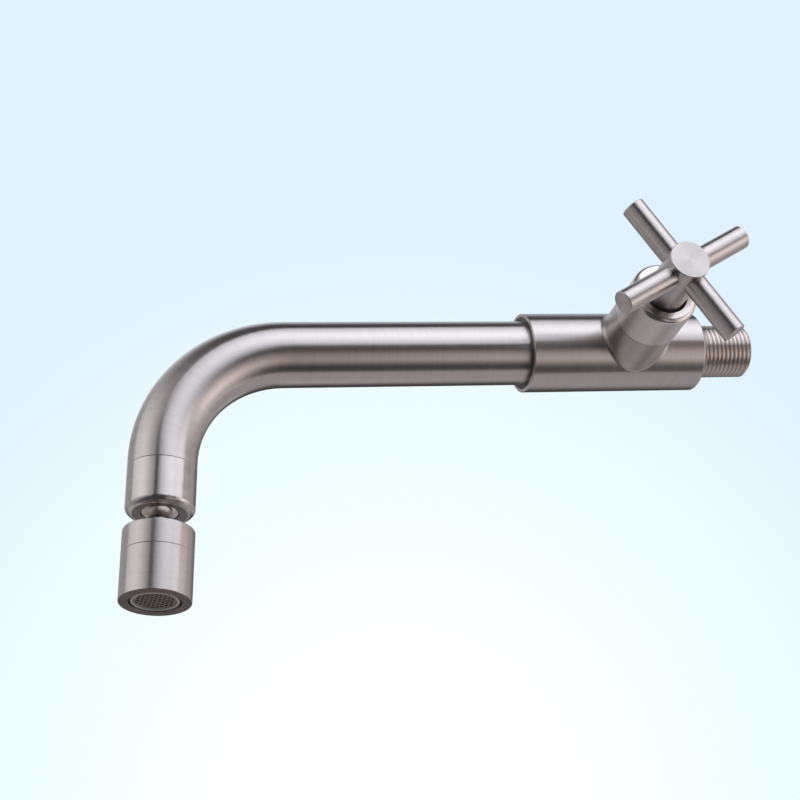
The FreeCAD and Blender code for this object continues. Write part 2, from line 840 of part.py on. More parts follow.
def outlet_grid():
    """Honeycomb at the outlet, seated on the cup's lip."""
    return holed_disc(inner_radius, grid_top, grid_bottom, grid_pitch, grid_web, grid_rings)


def mixing_screens():
    """Screens that mix air and water, each with a rim that spaces it from the next."""
    screens = []
    for number in range(screen_count):
        bottom = grid_top - number * screen_rim
        rim = washer(inner_radius - rim_wall, inner_radius, bottom - screen_rim, bottom)
        disc = holed_disc(inner_radius, bottom - screen_thickness, bottom, screen_pitch, grid_web,
                          screen_rings)
        screens.append(disc.fuse(rim).removeSplitter())
    return Part.makeCompound(screens)


def mixing_sleeve():
    """Spacer between the screens and the jet plate, with windows for the air."""
    sleeve = washer(inner_radius - rim_wall, inner_radius, jet_plate_bottom, screens_top)
    return sleeve.cut(air_windows(2 * inner_radius))


def jet_plate():
    """Plate that breaks the water into jets."""
    circle = inner_radius - rim_wall - 2 * jet_radius
    jets = []
    for number in range(jet_count):
        angle = math.radians(number * 360 / jet_count)
        jets.append(rod(jet_radius, jet_plate_top, jet_plate_bottom,
                        circle * math.cos(angle), circle * math.sin(angle)))
    return rod(inner_radius, jet_plate_top, jet_plate_bottom).cut(Part.makeCompound(jets))


def strainer_cup():
    """Strainer that keeps grit out of the jets, held down by the gasket."""
    bottom = jet_plate_top
    wall = washer(inner_radius - strainer_wall, inner_radius, core_top, bottom)
    floor = holed_disc(inner_radius, bottom - strainer_thickness, bottom, screen_pitch, grid_web,
                       screen_rings)
    return floor.fuse(wall).removeSplitter()


def placed(shape, frame):
    """A shape moved from its own frame into the tap's."""
    moved = shape.copy()
    moved.Placement = frame.multiply(moved.Placement)
    return moved


def all_pieces():
    """Every piece under its name, in the tap's frame."""
    pieces = {"valve_body": valve_body(), "spout_tube": spout_tube()}
    on_body_axis = [inlet_nipple, spout_glide_ring, spout_spigot, spout_o_rings, spout_snap_ring]
    on_valve_axis = [
        collar_sleeve, cartridge_housing, cartridge_o_ring, seat_gasket, ceramic_disc_fixed,
        ceramic_disc_moving, spindle, spindle_o_rings, friction_washer, spindle_circlip, handle_hub,
        handle_set_screw]
    on_outlet_axis = [
        spout_end_insert, ring_o_ring, swivel_ring, ball_retaining_ring, ball_seat, swivel_ball,
        stem_o_ring, stem_circlip, head_cap, aerator_shell, aerator_gasket, strainer_cup, jet_plate,
        mixing_sleeve, mixing_screens, outlet_grid, aerator_core]
    for group, frame in ((on_body_axis, body_axis), (on_valve_axis, valve_axis),
                         (on_outlet_axis, outlet_axis)):
        for make in group:
            pieces[make.__name__] = placed(make(), frame)
    for number in range(arm_count):
        pieces["handle_arm_%d" % (number + 1)] = placed(handle_arm(number), valve_axis)
    return pieces


def main():
    os.makedirs("parts", exist_ok=True)
    for name, shape in all_pieces().items():
        shape.exportStep("parts/%s.step" % name)
        box = shape.BoundBox
        print("%-22s solids %d valid %s volume %9.1f  x %6.1f..%6.1f y %7.1f..%6.1f z %6.1f..%6.1f" % (
            name, len(shape.Solids), shape.isValid(), shape.Volume,
            box.XMin, box.XMax, box.YMin, box.YMax, box.ZMin, box.ZMax))


main()
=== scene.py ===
"""Looks of a wall-mounted basin tap in brushed stainless steel.

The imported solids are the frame. This script gives each of them its finish, joins the faces of the steel
ones that show, so that their shine runs on unbroken, makes the pipe thread that they leave plain, and sets
up the camera, the floor and the studio light. Lengths are in metres, written as millimetres times mm. +Y
points into the wall, -Y along the spout, +X along the handle's axis, +Z up.
"""
import json
import math

import bpy
from mathutils import Matrix, Vector


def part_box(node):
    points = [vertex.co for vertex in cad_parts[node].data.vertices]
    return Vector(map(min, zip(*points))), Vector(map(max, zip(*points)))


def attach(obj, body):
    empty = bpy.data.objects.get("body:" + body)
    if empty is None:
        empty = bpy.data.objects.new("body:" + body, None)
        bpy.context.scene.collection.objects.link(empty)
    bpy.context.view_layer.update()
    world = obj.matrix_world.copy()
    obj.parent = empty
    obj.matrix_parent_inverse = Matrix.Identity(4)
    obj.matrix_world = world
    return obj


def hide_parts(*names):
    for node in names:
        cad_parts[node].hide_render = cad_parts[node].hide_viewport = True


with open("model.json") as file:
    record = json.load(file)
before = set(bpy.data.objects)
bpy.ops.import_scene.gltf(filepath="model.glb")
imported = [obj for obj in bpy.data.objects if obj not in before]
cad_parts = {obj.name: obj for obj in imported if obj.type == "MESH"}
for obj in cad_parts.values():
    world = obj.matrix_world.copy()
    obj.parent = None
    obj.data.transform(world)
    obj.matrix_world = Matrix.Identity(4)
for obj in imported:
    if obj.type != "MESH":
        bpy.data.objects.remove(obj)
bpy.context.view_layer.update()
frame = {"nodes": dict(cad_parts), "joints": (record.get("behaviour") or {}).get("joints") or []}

mm = 0.001
nodes = frame["nodes"]
joints = {joint["name"]: joint for joint in frame["joints"]}

# Sizes of the tap that its finishes follow
body_radius = 15.48 * mm
bend_start = 168.55 * mm
bend_radius = 50.0 * mm

# The inlet's pipe thread, and the bore of the nipple that carries it
thread_pitch = 1.814 * mm
thread_depth = 1.0775 * mm
thread_chamfer = 1.3 * mm
thread_run_out = 2.2 * mm
nipple_bore_radius = 7.0 * mm
# One pitch of the thread, with flat crests and roots, as share of the pitch and of the depth
thread_form = (
    (0.0, 0.0), (0.03, 0.0), (0.09, 0.07), (0.28, 0.92), (0.315, 1.0), (0.5, 1.0),
    (0.685, 1.0), (0.72, 0.92), (0.91, 0.07), (0.97, 0.0), (1.0, 0.0))
# The blank is a hair slimmer than the thread's roots at its neck and a hair wider than its crests beyond,
# so that no two surfaces lie on each other where they are cut
neck_below_root = 0.005 * mm
blank_over_crest = 0.01 * mm
# Steps in which a line is swept round a full turn, and how near two points have to lie to become one
screw_steps = 72
screw_gap = 0.002 * mm

# Pieces whose faces are joined: name, slot and body
whole_pieces = (
    ("valve_body", "satin_steel", "body"),
    ("collar_sleeve", "satin_steel", "body"),
    ("handle_hub", "satin_steel", "handle"),
    ("handle_arm_1", "satin_steel", "handle"),
    ("handle_arm_2", "satin_steel", "handle"),
    ("handle_arm_3", "satin_steel", "handle"),
    ("handle_arm_4", "satin_steel", "handle"),
    ("spout_tube", "satin_steel", "spout"),
    ("swivel_ring", "satin_steel", "spout"),
    ("ball_retaining_ring", "turned_steel", "spout"),
    ("swivel_ball", "polished_steel", "ball"),
    ("head_cap", "satin_steel", "head"),
    ("aerator_shell", "satin_steel", "head"))
# How near two points have to lie to become one, and the angle under which faces are shaded as one
seam_gap = 0.0005 * mm
smooth_below = math.radians(28)

# Camera, as the photograph was taken: from below, on the handle's side. Its angles are in degrees, and its
# lens in millimetres for a picture 36 mm wide.
camera_azimuth = 71.03
camera_elevation = -25.60
camera_roll = -9.37
camera_distance = 687.7 * mm
camera_target = Vector((0, -125.34 * mm, -19.76 * mm))
camera_lens = 81.53
camera_clip = (10 * mm, 100.0)

# Floor, well below the tap, which hangs on its wall
floor_drop = 620 * mm
floor_size = 60.0

# Plain soft studio light, as the bands on the steel show it. Lamps: name, shape, azimuth, elevation, width
# and height in degrees as the tap sees them, colour, radiance in the middle, share of it at the rim
lamp_distance = 1.3
lamp_fade = 0.45  # the rim's level is reached this far from the middle, as share of the lamp's width
lamps = (
    ("key_light", "ELLIPSE", 120, 40.0, 78, 69, "#F5F7FF", 1.66, 0.58),
    ("warm_light", "RECTANGLE", 156, -17, 55, 60, "#FFF3ED", 1.27, 0.35),
    ("front_light", "RECTANGLE", 18, 28, 73, 60, "#FDFAF9", 1.00, 0.42))

# Soft patches of wall, floor and backdrop that the steel sees between the lamps: azimuth, elevation, half
# width and half height in degrees, colour, level. Each is full near its middle and fades out at its edge.
patch_full = 0.55  # as shares of its half width and half height
patch_gone = 1.35
patches = (
    (-107, 46, 27, 22, "#DDEBF8", 0.66),
    (-178, 12, 42, 24, "#F6EEEA", 0.40),
    (115, -38, 15, 23, "#F4E8E2", 0.40),
    (-24, -14, 60, 24, "#F4EAE8", 0.32),
    (-78, -37, 25, 20, "#F2EEF0", 0.46),
    (-134, 0, 15, 12, "#F2EEF0", 0.28),
    (-129, -12, 11, 11, "#F2EEF0", 0.24),
    (-157, 36, 24, 9, "#E6E4F6", 0.40),
    (-48, 36, 42, 38, "#F2F0F2", 0.36))

# The dark room that the steel sees, and the backdrop's paper: it hangs on the side away from the handle and
# is palest down towards the wall
room_colour = "#3D3A3B"
paper_colour = "#F6EEF0"
paper_palest = (0, 0.6, -0.8)
paper_edge = {"From Min": 0.02, "From Max": -0.05}  # by a direction's share of +X
paper_fade = {"From Min": 0.38, "From Max": 0.86, "To Max": 0.38}  # by its share of the palest direction

# What matt surfaces see instead: an even pale light
even_light = "#F2F5F8"

# The backdrop's glow, which only the camera sees: its middle in the camera's axes, in pixels of a picture
# 800 pixels wide, and how far from it, between unit directions, the glow starts to fade and has gone
glow_middle = Vector((0, -420, -1811.8))
glow_full = 0.09
glow_gone = 0.33


# Frames of the turned pieces: Z is the axis that a piece was turned about
def turning_frame(point, direction):
    """Frame at a point whose Z runs along a direction."""
    turn = Vector(direction).to_track_quat("Z", "Y").to_matrix().to_4x4()
    return Matrix.Translation(Vector(point)) @ turn


def arm_frame(name):
    """Frame of a handle arm, from the handle's axis out through the middle of the arm."""
    low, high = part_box(name)
    middle = (low + high) / 2
    root = Vector(joints["handle_turn"]["pos_m"])
    root.x = middle.x
    return turning_frame(root, middle - root)


body_frame = turning_frame((0, 0, 0), (0, -1, 0))
valve_frame = turning_frame(joints["handle_turn"]["pos_m"], joints["handle_turn"]["axis"])
outlet_frame = turning_frame(joints["ball_spin"]["pos_m"], joints["ball_spin"]["axis"])


# Material nodes
def linear(hex_colour):
    """Linear colour of an sRGB hex colour."""
    channels = [int(hex_colour[i:i + 2], 16) / 255 for i in (1, 3, 5)]
    return (*(c / 12.92 if c <= 0.04045 else ((c + 0.055) / 1.055) ** 2.4 for c in channels), 1.0)


def fill(tree, node, inputs):
    """Fills a node's inputs with values or links."""
    for key, value in dict(inputs).items():
        if isinstance(value, bpy.types.NodeSocket):
            tree.links.new(value, node.inputs[key])
        else:
            node.inputs[key].default_value = value


def put(tree, kind, inputs=(), **settings):
    """Adds a node, sets its properties, and fills its inputs with values or links."""
    node = tree.nodes.new(kind)
    for name, value in settings.items():
        setattr(node, name, value)
    fill(tree, node, inputs)
    return node


def new_material(name):
    """Empty material, its node tree and its shader."""
    material = bpy.data.materials.new(name)
    material.use_nodes = True
    tree = material.node_tree
    tree.nodes.clear()
    shader = put(tree, "ShaderNodeBsdfPrincipled")
    put(tree, "ShaderNodeOutputMaterial", {"Surface": shader.outputs[0]})
    return material, tree, shader


def piece_point(tree, place):
    """The shaded point in a turned piece's own frame."""
    point = put(tree, "ShaderNodeTexCoord").outputs["Object"]
    return put(tree, "ShaderNodeMapping", {
        "Vector": point, "Location": place.translation, "Rotation": place.to_euler()},
        vector_type="TEXTURE").outputs[0]


def flat_part(tree, point):
    """A point's part square to Z, and the length of that part."""
    flat = put(tree, "ShaderNodeVectorMath", {0: point, 1: (1, 1, 0)}, operation="MULTIPLY").outputs[0]
    return flat, put(tree, "ShaderNodeVectorMath", {0: flat}, operation="LENGTH").outputs["Value"]


def lathe_direction(tree, point, place):
    """Direction round the piece's axis, in which the marks of turning and brushing run."""
    around = put(tree, "ShaderNodeVectorMath", {0: (0, 0, 1), 1: point}, operation="CROSS_PRODUCT")
    return put(tree, "ShaderNodeMapping", {"Vector": around.outputs[0], "Rotation": place.to_euler()},
               vector_type="VECTOR").outputs[0]


def lathe_streaks(tree, point, spacing, length, detail):
    """Pattern of fine lines round the axis: along a wall they follow its height, on an end its radius."""
    flat, radius = flat_part(tree, point)
    height = put(tree, "ShaderNodeVectorMath", {0: point, 1: (0, 0, 1)}, operation="DOT_PRODUCT")
    along = put(tree, "ShaderNodeMath", {0: height.outputs["Value"], 1: radius}, operation="ADD").outputs[0]
    upright = put(tree, "ShaderNodeCombineXYZ", {"Z": along}).outputs[0]
    whole = put(tree, "ShaderNodeVectorMath", {0: flat, 1: upright}, operation="ADD").outputs[0]
    scaled = put(tree, "ShaderNodeVectorMath", {0: whole, 1: (1 / length, 1 / length, 1 / spacing)},
                 operation="MULTIPLY").outputs[0]
    return put(tree, "ShaderNodeTexNoise", {
        "Vector": scaled, "Scale": 1.0, "Detail": detail, "Roughness": 0.6}).outputs["Fac"]


# Nearly all of a noise's values lie between these two
noise_span = {"From Min": 0.3, "From Max": 0.7}

# Broad lines lie among the fine ones: their width in fine lines, and their share of the pattern
broad_width = 6
broad_share = 0.4

# How much more a surface has to face along its axis until it is wholly finished as an end
end_fade = 0.15

# How far outside the barrel the surface of the valve body counts as its boss
boss_margin = 0.1 * mm


def brushed_metal(name, grain, colour_low, colour_high, rough_low, rough_high, spacing, length, depth,
                  anisotropy, patch_roughness=0.0, patch_shade="#FFFFFF"):
    """Metal with lines brushed or turned round it.

    The grain gives the shaded point in the piece's frame, the direction of the lines, and the patch of the
    piece that is finished otherwise, more matt or more polished, and darkened by patch_shade: on the valve
    body's boss that darkening is painted shade. The shine spreads across the lines, a quarter turn from
    their direction.
    """
    material, tree, shader = new_material(name)
    point, direction, patch = grain(tree)
    fine = lathe_streaks(tree, point, spacing, length, 2.0)
    broad = lathe_streaks(tree, point, broad_width * spacing, length, 1.0)
    mixed = put(tree, "ShaderNodeMix", {0: broad_share, "A": fine, "B": broad},
                data_type="FLOAT").outputs[0]
    colour = put(tree, "ShaderNodeMix", {0: mixed, "A": linear(colour_low), "B": linear(colour_high)},
                 data_type="RGBA").outputs[2]
    colour = put(tree, "ShaderNodeMix", {0: patch, "A": colour, "B": linear(patch_shade)}, data_type="RGBA",
                 blend_type="MULTIPLY").outputs[2]
    roughness = put(tree, "ShaderNodeMapRange", {
        "Value": mixed, **noise_span, "To Min": rough_low, "To Max": rough_high})
    roughness = put(tree, "ShaderNodeMath", {0: patch, 1: patch_roughness, 2: roughness.outputs[0]},
                    operation="MULTIPLY_ADD")
    bump = put(tree, "ShaderNodeBump", {"Height": fine, "Strength": 1.0, "Distance": depth})
    tangent = put(tree, "ShaderNodeVectorTransform", {"Vector": direction}, vector_type="VECTOR",
                  convert_from="OBJECT", convert_to="WORLD")
    fill(tree, shader, {
        "Base Color": colour, "Metallic": 1.0, "Roughness": roughness.outputs[0],
        "Anisotropic": anisotropy, "Anisotropic Rotation": 0.25, "Tangent": tangent.outputs[0],
        "Normal": bump.outputs[0]})
    return material


def turned_grain(place, end_from=None):
    """Grain of a piece turned about one axis.

    With end_from, its end is a patch: where the surface faces along the axis by more than that share.
    """
    def grain(tree):
        point = piece_point(tree, place)
        direction = lathe_direction(tree, point, place)
        if end_from is None:
            return point, direction, 0.0
        normal = put(tree, "ShaderNodeTexCoord").outputs["Normal"]
        along = put(tree, "ShaderNodeVectorMath", {0: normal, 1: place.to_3x3().col[2]},
                    operation="DOT_PRODUCT").outputs["Value"]
        end = put(tree, "ShaderNodeMapRange", {
            "Value": along, "From Min": end_from, "From Max": end_from + end_fade})
        return point, direction, end.outputs[0]
    return grain


def body_grain(tree):
    """Grain of the valve body: round the barrel, and round the boss where the surface leaves the barrel.

    The boss is its patch: a little more matt, and painted greyer as painted shade from the barrel.
    """
    barrel_point = piece_point(tree, body_frame)
    boss_point = piece_point(tree, valve_frame)
    radius = flat_part(tree, barrel_point)[1]
    on_boss = put(tree, "ShaderNodeMath", {0: radius, 1: body_radius + boss_margin},
                  operation="GREATER_THAN").outputs[0]
    point = put(tree, "ShaderNodeMix", {0: on_boss, 4: barrel_point, 5: boss_point},
                data_type="VECTOR").outputs[1]
    direction = put(tree, "ShaderNodeMix", {
        0: on_boss, 4: lathe_direction(tree, barrel_point, body_frame),
        5: lathe_direction(tree, boss_point, valve_frame)}, data_type="VECTOR").outputs[1]
    return point, direction, on_boss


def spout_grain(tree):
    """Grain of the bent tube: round its own section, all along the straight part and the bend."""
    point = put(tree, "ShaderNodeTexCoord").outputs["Object"]
    split = put(tree, "ShaderNodeSeparateXYZ", {0: point}).outputs
    past_start = put(tree, "ShaderNodeMath", {0: -bend_start, 1: split["Y"]},
                     operation="SUBTRACT").outputs[0]
    straight = put(tree, "ShaderNodeMath", {0: past_start, 1: 0.0}, operation="MINIMUM").outputs[0]
    in_bend = put(tree, "ShaderNodeMath", {0: past_start, 1: 0.0}, operation="MAXIMUM").outputs[0]
    forward = put(tree, "ShaderNodeMath", {0: in_bend, 1: -1.0}, operation="MULTIPLY").outputs[0]
    above_centre = put(tree, "ShaderNodeMath", {0: split["Z"], 1: bend_radius}, operation="ADD").outputs[0]
    # The spoke runs from the bend's centre to the point, or stands upright over the straight part
    spoke = put(tree, "ShaderNodeCombineXYZ", {"Y": forward, "Z": above_centre}).outputs[0]
    reach = put(tree, "ShaderNodeVectorMath", {0: spoke}, operation="LENGTH").outputs["Value"]
    height = put(tree, "ShaderNodeMath", {0: reach, 1: bend_radius}, operation="SUBTRACT").outputs[0]
    turn = put(tree, "ShaderNodeMath", {0: in_bend, 1: above_centre}, operation="ARCTAN2").outputs[0]
    along = put(tree, "ShaderNodeMath", {0: turn, 1: bend_radius, 2: straight},
                operation="MULTIPLY_ADD").outputs[0]
    own_point = put(tree, "ShaderNodeCombineXYZ", {"X": split["X"], "Y": height, "Z": along}).outputs[0]
    outwards = put(tree, "ShaderNodeVectorMath", {0: spoke}, operation="NORMALIZE").outputs[0]
    raised = put(tree, "ShaderNodeVectorMath", {0: outwards, "Scale": split["X"]},
                 operation="SCALE").outputs[0]
    sideways = put(tree, "ShaderNodeCombineXYZ", {"X": height}).outputs[0]
    around = put(tree, "ShaderNodeVectorMath", {0: raised, 1: sideways}, operation="SUBTRACT").outputs[0]
    return own_point, around, 0.0


# Brushed stainless steel. The lines of the brush run round each piece, so they draw the lamps out into long
# soft bands along it, with a faint grain across. Real lines lie under 0.1 mm apart, which is too fine for
# the picture, so they are drawn 0.4 mm apart and 14 mm long.
satin_values = {
    "colour_low": "#C6C0BF", "colour_high": "#EAE5E4", "rough_low": 0.278, "rough_high": 0.31,
    "spacing": 0.40 * mm, "length": 14 * mm, "depth": 0.0001 * mm, "anisotropy": 0.83}

# The ring is brushed with a finer belt, so its bands are crisper
ring_values = dict(satin_values, rough_low=0.20, rough_high=0.265)

# The body is brushed a little coarser, which softens its bands, and its boss is painted a touch greyer:
# painted shade from the barrel it stands on
body_values = dict(satin_values, rough_low=0.285, rough_high=0.34, patch_roughness=0.03,
                   patch_shade="#F0EEEE")

# The sleeve is blasted to an even pale satin that shows no bands. Its turned front edge shines more.
sleeve_values = dict(satin_values, colour_low="#DFD9D8", colour_high="#F6F0EF", rough_low=0.40,
                     rough_high=0.44, anisotropy=0.4, patch_roughness=-0.20)

# The shell's lower rim is darker and more matt than its wall
shell_values = dict(satin_values, patch_roughness=0.09, patch_shade="#A39B97")

# The hub is a shade darker than the arms screwed into it
hub_values = dict(satin_values, colour_low="#BAB4B3", colour_high="#DAD4D3")

# Stainless steel as it comes off the lathe: the grooves of a finishing cut, 0.2 mm apart, scatter the light
# more than brushing does, and it looks greyer and duller
turned_values = {
    "colour_low": "#B2A8A3", "colour_high": "#D6CDC8", "rough_low": 0.29, "rough_high": 0.38,
    "spacing": 0.20 * mm, "length": 20 * mm, "depth": 0.001 * mm, "anisotropy": 0.5}

# The thread's flanks are smoother than the rest of the lathe's work, and each ridge catches a pale line
thread_values = dict(turned_values, colour_low="#D4CBC7", colour_high="#F0E9E5", rough_low=0.285,
                     rough_high=0.34, depth=0.0002 * mm, anisotropy=0.75)

# Turned brass of the parts inside: the same grooves, in a warm yellow
brass_values = dict(turned_values, colour_low="#B8934A", colour_high="#D8B56C")

# The collar round the ball is turned and left dull, so that it frames the bright ball
dark_values = dict(turned_values, colour_low="#867E7B", colour_high="#A09894")


def polished_steel():
    """Stainless steel polished to a mirror, which shows the lamps sharply.

    The wheel leaves a faint haze in clouds 2.5 mm across, so that the mirror isn't quite even.
    """
    material, tree, shader = new_material("polished_stainless_steel")
    haze_size = 2.5 * mm
    haze = put(tree, "ShaderNodeTexNoise", {
        "Vector": piece_point(tree, outlet_frame), "Scale": 1 / haze_size, "Detail": 4.0}).outputs["Fac"]
    roughness = put(tree, "ShaderNodeMapRange", {"Value": haze, "To Min": 0.05, "To Max": 0.14})
    fill(tree, shader, {
        "Base Color": linear("#DAD4D0"), "Metallic": 1.0, "Roughness": roughness.outputs[0]})
    return material


def grained(name, colour_low, colour_high, rough_low, rough_high, grain_size, depth):
    """Moulded, turned or lapped surface: an even fine grain in colour, roughness and height."""
    material, tree, shader = new_material(name)
    point = put(tree, "ShaderNodeTexCoord").outputs["Object"]
    grain = put(tree, "ShaderNodeTexNoise", {
        "Vector": point, "Scale": 1 / grain_size, "Detail": 4.0, "Roughness": 0.6}).outputs["Fac"]
    colour = put(tree, "ShaderNodeMix", {0: grain, "A": linear(colour_low), "B": linear(colour_high)},
                 data_type="RGBA").outputs[2]
    roughness = put(tree, "ShaderNodeMapRange", {
        "Value": grain, **noise_span, "To Min": rough_low, "To Max": rough_high})
    bump = put(tree, "ShaderNodeBump", {"Height": grain, "Strength": 1.0, "Distance": depth})
    fill(tree, shader, {
        "Base Color": colour, "Roughness": roughness.outputs[0], "Normal": bump.outputs[0]})
    return material


# Grained surfaces: darkest and lightest colour, lowest and highest roughness, size and depth of the grain,
# and the pieces that have it
grained_finishes = {
    # Nitrile rubber, moulded against a ground tool: near black and matt
    "nitrile_rubber": (("#141414", "#1E1E1E", 0.55, 0.75, 0.15 * mm, 0.004 * mm), (
        "cartridge_o_ring", "seat_gasket", "spindle_o_rings", "spout_o_rings", "ring_o_ring",
        "stem_o_ring", "aerator_gasket")),
    # Alumina ceramic, lapped flat: ivory white, with a close sheen
    "lapped_alumina": (("#E9E5DA", "#F1EEE6", 0.10, 0.18, 0.05 * mm, 0.001 * mm), (
        "ceramic_disc_fixed", "ceramic_disc_moving")),
    # Dark acetal, turned: it fills the gap between body and tube with an even dull shade
    "dark_grey_acetal": (("#3F3A3A", "#4B4545", 0.35, 0.5, 0.3 * mm, 0.003 * mm), ("spout_glide_ring",)),
    # PTFE, turned: a waxy white
    "ptfe": (("#E4E3DE", "#EFEEEA", 0.45, 0.6, 0.2 * mm, 0.003 * mm), ("friction_washer", "ball_seat")),
    # Grey acetal, moulded, in three shades: the outlet's honeycomb looks brownish, its rim lighter
    "grey_acetal": (("#4E4744", "#5E5653", 0.35, 0.5, 0.12 * mm, 0.003 * mm), (
        "strainer_cup", "jet_plate", "mixing_sleeve")),
    "brown_grey_acetal": (("#5A4B43", "#6B5A50", 0.30, 0.45, 0.12 * mm, 0.003 * mm), ("outlet_grid",)),
    "light_grey_acetal": (("#7C736E", "#8B817B", 0.3, 0.42, 0.12 * mm, 0.003 * mm), ("aerator_core",))}

# Metals with lines: start of the finish's name, its values, and the pieces with the grain of each
metal_finishes = (
    ("brushed_steel", satin_values, dict(
        {name: turned_grain(arm_frame(name))
         for name in ("handle_arm_1", "handle_arm_2", "handle_arm_3", "handle_arm_4")},
        head_cap=turned_grain(outlet_frame), spout_tube=spout_grain)),
    ("brushed_steel", ring_values, {"swivel_ring": turned_grain(outlet_frame)}),
    ("brushed_steel", body_values, {"valve_body": body_grain}),
    ("brushed_steel", hub_values, {"handle_hub": turned_grain(valve_frame)}),
    ("brushed_steel", shell_values, {"aerator_shell": turned_grain(outlet_frame, 0.6)}),
    ("satin_steel", sleeve_values, {"collar_sleeve": turned_grain(valve_frame, 0.1)}),
    ("dark_turned_steel", dark_values, {"ball_retaining_ring": turned_grain(outlet_frame)}),
    ("turned_steel", turned_values, {
        "spout_snap_ring": turned_grain(body_frame), "spindle_circlip": turned_grain(valve_frame),
        "handle_set_screw": turned_grain(valve_frame), "stem_circlip": turned_grain(outlet_frame),
        "mixing_screens": turned_grain(outlet_frame)}),
    ("turned_brass", brass_values, {
        "spindle": turned_grain(valve_frame), "cartridge_housing": turned_grain(valve_frame),
        "spout_spigot": turned_grain(body_frame), "spout_end_insert": turned_grain(outlet_frame)}))


def finish_frame():
    """Gives every solid of the frame its finish."""
    finishes = {"swivel_ball": polished_steel()}
    for finish, values, grains in metal_finishes:
        for name, grain in grains.items():
            finishes[name] = brushed_metal(finish + "_" + name, grain, **values)
    for finish, (values, pieces) in grained_finishes.items():
        finishes.update(dict.fromkeys(pieces, grained(finish, *values)))
    for name, material in finishes.items():
        for place in nodes[name].material_slots:
            place.link = "OBJECT"
            place.material = material


def whole_skin(name, body):
    """Copy of a solid whose faces are joined, so that no shine breaks off at their seams."""
    bpy.ops.object.select_all(action="DESELECT")
    nodes[name].select_set(True)
    bpy.context.view_layer.objects.active = nodes[name]
    bpy.ops.object.duplicate()
    piece = bpy.context.object
    piece.name = "whole_" + name
    bpy.ops.object.mode_set(mode="EDIT")
    bpy.ops.mesh.select_mode(type="VERT")
    bpy.ops.mesh.select_all(action="SELECT")
    bpy.ops.mesh.remove_doubles(threshold=seam_gap)
    bpy.ops.object.mode_set(mode="OBJECT")
    bpy.ops.mesh.customdata_custom_splitnormals_clear()
    bpy.ops.object.shade_smooth_by_angle(angle=smooth_below, keep_sharp_edges=False)
    even = piece.modifiers.new("even", "WEIGHTED_NORMAL")
    even.mode = "FACE_AREA_WITH_ANGLE"
    even.keep_sharp = True
    bpy.ops.object.modifier_apply(modifier=even.name)
    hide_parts(name)
    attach(piece, body)


# Turned and screwed pieces
def line(name, points):
    """Line drawn point by point: distance from the Y axis, and place along it."""
    bpy.ops.object.select_all(action="DESELECT")
    bpy.ops.mesh.primitive_plane_add(size=mm, location=(0, 0, 0))
    piece = bpy.context.object
    piece.name = name
    bpy.ops.object.mode_set(mode="EDIT")
    bpy.ops.mesh.select_mode(type="VERT")
    bpy.ops.mesh.select_all(action="SELECT")
    bpy.ops.mesh.merge(type="CENTER")
    bpy.ops.transform.translate(value=(points[0][0], points[0][1], 0))
    for start, end in zip(points, points[1:]):
        step = (end[0] - start[0], end[1] - start[1], 0)
        bpy.ops.mesh.extrude_vertices_move(TRANSFORM_OT_translate={"value": step})
    bpy.ops.object.mode_set(mode="OBJECT")
    return piece


def screw(piece, rise=0.0, turns=1):
    """Sweeps a line round the Y axis, with a rise for each turn, and joins the doubled points."""
    sweep = piece.modifiers.new("sweep", "SCREW")
    sweep.axis = "Y"
    sweep.angle = math.tau
    sweep.screw_offset = rise
    sweep.iterations = turns
    sweep.steps = sweep.render_steps = screw_steps
    bpy.ops.object.modifier_apply(modifier=sweep.name)
    bpy.ops.object.mode_set(mode="EDIT")
    bpy.ops.mesh.select_all(action="SELECT")
    bpy.ops.mesh.remove_doubles(threshold=screw_gap)
    bpy.ops.object.mode_set(mode="OBJECT")


def close_end(piece, near_start):
    """Closes one open end of a screwed surface with faces that meet on the axis."""
    heights = [point.co.y for point in piece.data.vertices]
    middle = (min(heights) + max(heights)) / 2
    bpy.ops.object.mode_set(mode="EDIT")
    bpy.ops.mesh.select_all(action="DESELECT")
    bpy.ops.mesh.select_mode(type="EDGE")
    bpy.ops.mesh.select_non_manifold()
    bpy.ops.object.mode_set(mode="OBJECT")
    points = piece.data.vertices
    for edge in piece.data.edges:
        height = points[edge.vertices[0]].co.y
        edge.select = edge.select and (height < middle) == near_start
    bpy.ops.object.mode_set(mode="EDIT")
    bpy.ops.mesh.extrude_edges_move()
    bpy.ops.mesh.merge(type="CENTER")
    bpy.ops.object.mode_set(mode="OBJECT")


def face_outwards(piece):
    """Turns all faces of a closed piece outwards."""
    bpy.ops.object.mode_set(mode="EDIT")
    bpy.ops.mesh.select_all(action="SELECT")
    bpy.ops.mesh.normals_make_consistent(inside=False)
    bpy.ops.object.mode_set(mode="OBJECT")


